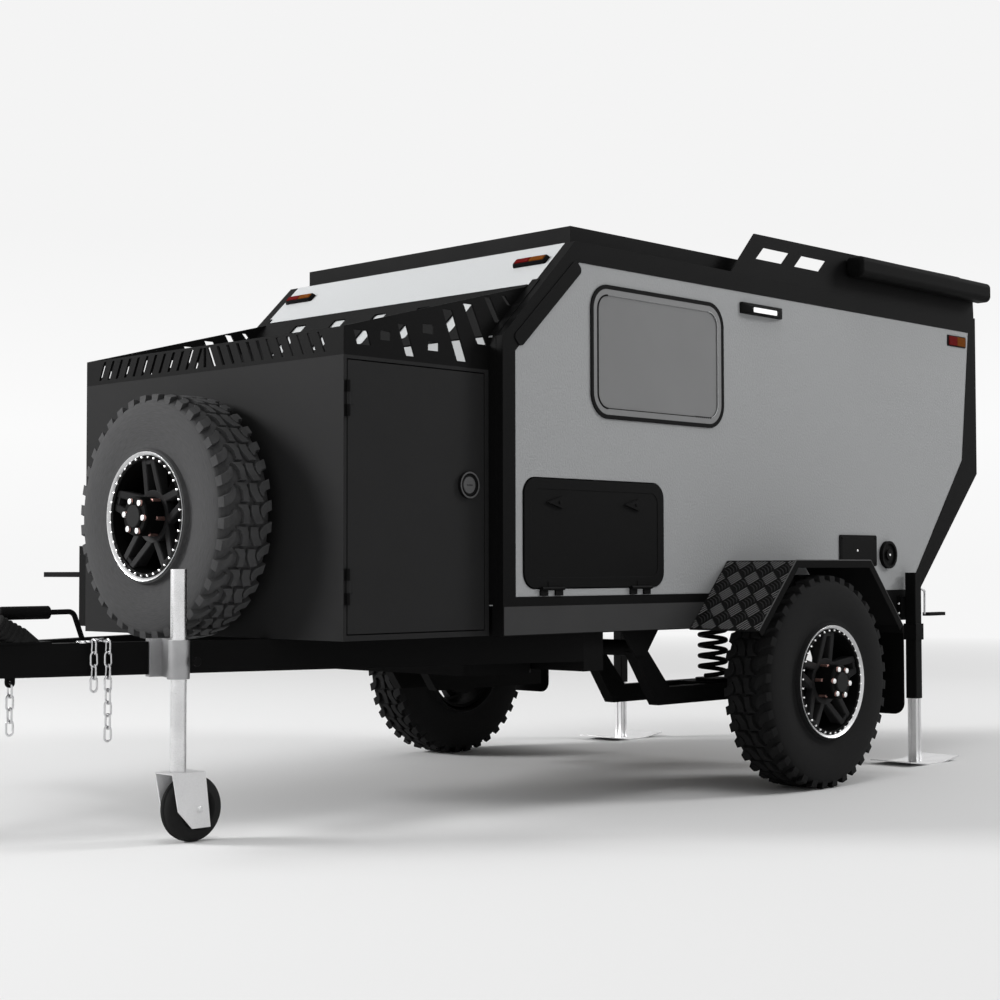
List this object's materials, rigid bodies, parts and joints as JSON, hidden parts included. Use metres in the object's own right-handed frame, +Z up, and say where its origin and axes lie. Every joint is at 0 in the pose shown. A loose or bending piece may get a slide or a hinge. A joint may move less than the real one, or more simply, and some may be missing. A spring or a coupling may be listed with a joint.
{
  "type": "off-road teardrop trailer",
  "caption": "Compact off-road teardrop trailer: boxy cabin with slanted ends, front stowage box with spare wheel, awning, jockey wheel and rear legs",
  "frame": {"origin": "on the ground under the middle of the overall bounding box", "axes": "+X forward to the coupling, +Y left, +Z up"},
  "size_m": [4.792, 2.192, 2.064],
  "materials": {
    "box_charcoal": "matte charcoal powder coat",
    "chequer": "black coated chequer plate",
    "floor": "coated plywood",
    "frame_black": "satin black powder coat",
    "glass": "tinted acrylic pane",
    "lamp": "red, amber and clear lenses in black bodies",
    "panel_grey": "matte grey composite skin with a fine grain",
    "panel_white": "white composite skin",
    "plastic_black": "black moulded plastic",
    "rim_black": "satin black wheel with a bright bead ring",
    "rubber": "black rubber",
    "spring_black": "black spring steel",
    "tank": "black moulded tank",
    "tyre": "mud tyre rubber",
    "zinc": "bright zinc plate"
  },
  "bodies": {
    "trailer": {"arm_hangers": "frame_black", "awning_bracket": "frame_black", "awning_case": "plastic_black", "brake_gaiter": "rubber", "chassis": "frame_black", "coil_springs": "spring_black", "coupler_head": "frame_black", "door_hinges": "frame_black", "floor_panel": "floor", "front_box": "box_charcoal", "front_panel": "panel_white", "gallery_rail": "frame_black", "handbrake_lever": "plastic_black", "jockey_clamp": "zinc", "lamps": "lamp", "leg_housings": "frame_black", "mudflaps": "rubber", "rear_slope_panel": "frame_black", "roof": "frame_black", "safety_chains": "zinc", "service_fittings": "plastic_black", "side_frames": "frame_black", "side_panel_left": "panel_grey", "side_panel_right": "panel_grey", "side_shelf": "frame_black", "spare_carrier": "frame_black", "spare_rim": "rim_black", "spare_tyre": "tyre", "trailing_arms": "frame_black", "water_tank": "tank", "wheel_arches": "chequer", "window_frame": "rubber", "window_pane": "glass"},
    "wheel_left": {"tyre_left": "tyre", "rim_left": "rim_black"},
    "wheel_right": {"tyre_right": "tyre", "rim_right": "rim_black"},
    "jockey_leg": {"jockey_tube": "zinc"},
    "jockey_swivel_fork": {"jockey_fork": "zinc"},
    "jockey_roller": {"jockey_wheel": "rubber"},
    "baggage_door": {"baggage_door": "plastic_black"},
    "box_door": {"box_door": "box_charcoal"},
    "entry_door": {"entry_door": "panel_grey"},
    "rear_hatch": {"rear_hatch": "frame_black"},
    "stabiliser_left": {"leg_left": "zinc"},
    "stabiliser_right": {"leg_right": "zinc"}
  },
  "joints": [
    {"name": "wheel_left_spin", "type": "hinge", "parent": "trailer", "child": "wheel_left", "pos_m": [-0.782, 0.955, 0.3875], "axis": [0, 1, 0], "continuous": true},
    {"name": "wheel_right_spin", "type": "hinge", "parent": "trailer", "child": "wheel_right", "pos_m": [-0.782, -0.955, 0.3875], "axis": [0, 1, 0], "continuous": true},
    {"name": "jockey_lift", "type": "slide", "parent": "trailer", "child": "jockey_leg", "axis": [0, 0, 1], "range_m": [-0.12, 0.25]},
    {"name": "jockey_swivel", "type": "hinge", "parent": "jockey_leg", "child": "jockey_swivel_fork", "pos_m": [1.608, 0.374, 0.207], "axis": [0, 0, 1], "continuous": true},
    {"name": "jockey_spin", "type": "hinge", "parent": "jockey_swivel_fork", "child": "jockey_roller", "pos_m": [1.561, 0.374, 0.098], "axis": [0, 1, 0], "continuous": true},
    {"name": "baggage_door_hinge", "type": "hinge", "parent": "trailer", "child": "baggage_door", "pos_m": [0.1655, 0.755, 0.734], "axis": [-1, 0, 0], "range_deg": [0, 170]},
    {"name": "box_door_hinge", "type": "hinge", "parent": "trailer", "child": "box_door", "pos_m": [1.224, 0.689, 1.015], "axis": [0, 0, -1], "range_deg": [0, 115]},
    {"name": "entry_door_hinge", "type": "hinge", "parent": "trailer", "child": "entry_door", "pos_m": [0.275, -0.75, 1.25], "axis": [0, 0, 1], "range_deg": [0, 95]},
    {"name": "rear_hatch_hinge", "type": "hinge", "parent": "trailer", "child": "rear_hatch", "pos_m": [-2.39, 0, 1.874], "axis": [0, 1, 0], "range_deg": [0, 95]},
    {"name": "stabiliser_left_slide", "type": "slide", "parent": "trailer", "child": "stabiliser_left", "axis": [0, 0, 1], "range_m": [-0.06, 0.2]},
    {"name": "stabiliser_right_slide", "type": "slide", "parent": "trailer", "child": "stabiliser_right", "axis": [0, 0, 1], "range_m": [-0.06, 0.2]}
  ]
}
